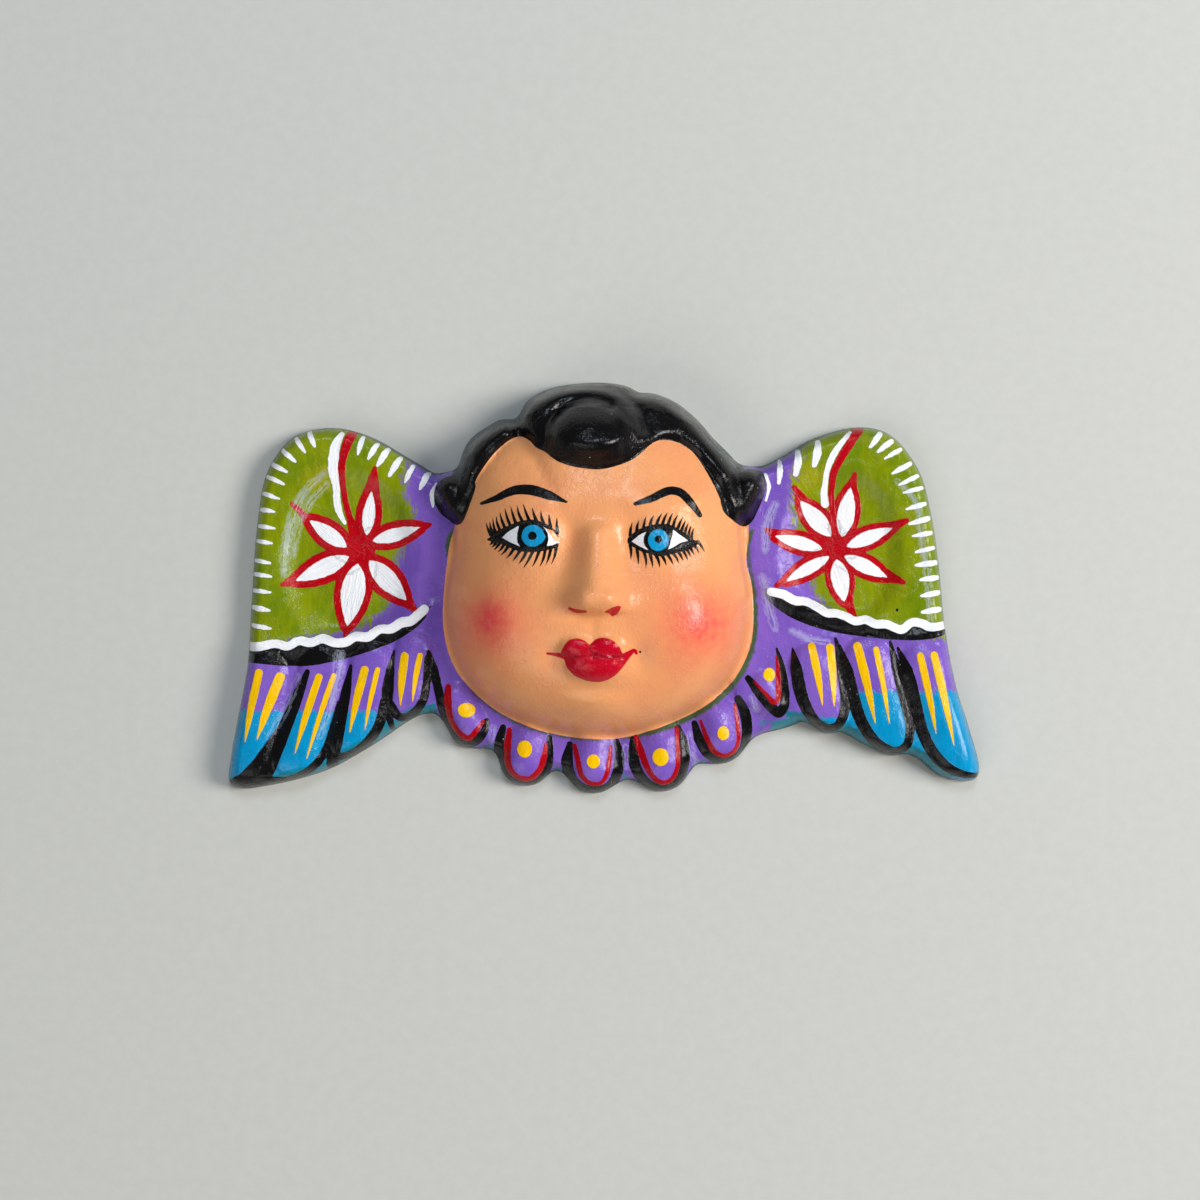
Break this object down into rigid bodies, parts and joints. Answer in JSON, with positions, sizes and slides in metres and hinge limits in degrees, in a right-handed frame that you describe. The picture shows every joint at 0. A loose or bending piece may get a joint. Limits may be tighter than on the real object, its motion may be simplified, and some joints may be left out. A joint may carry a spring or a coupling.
{
  "type": "angel mask",
  "caption": "Hollow-backed clay wall mask of an angel's head between two spread wings, with a feathered collar, painted and varnished.",
  "frame": {"origin": "middle of the mask's bounding box, in the plane of its flat back (the wall plane, or the table it lies on)", "axes": "+X from the left wing to the right wing as seen facing the mask, +Y towards the crown of the head, +Z out of the face"},
  "size_m": [0.25, 0.1368, 0.0451],
  "materials": {
    "painted_clay": "varnished"
  },
  "bodies": {
    "root": {"angel_mask": "painted_clay"}
  },
  "joints": []
}
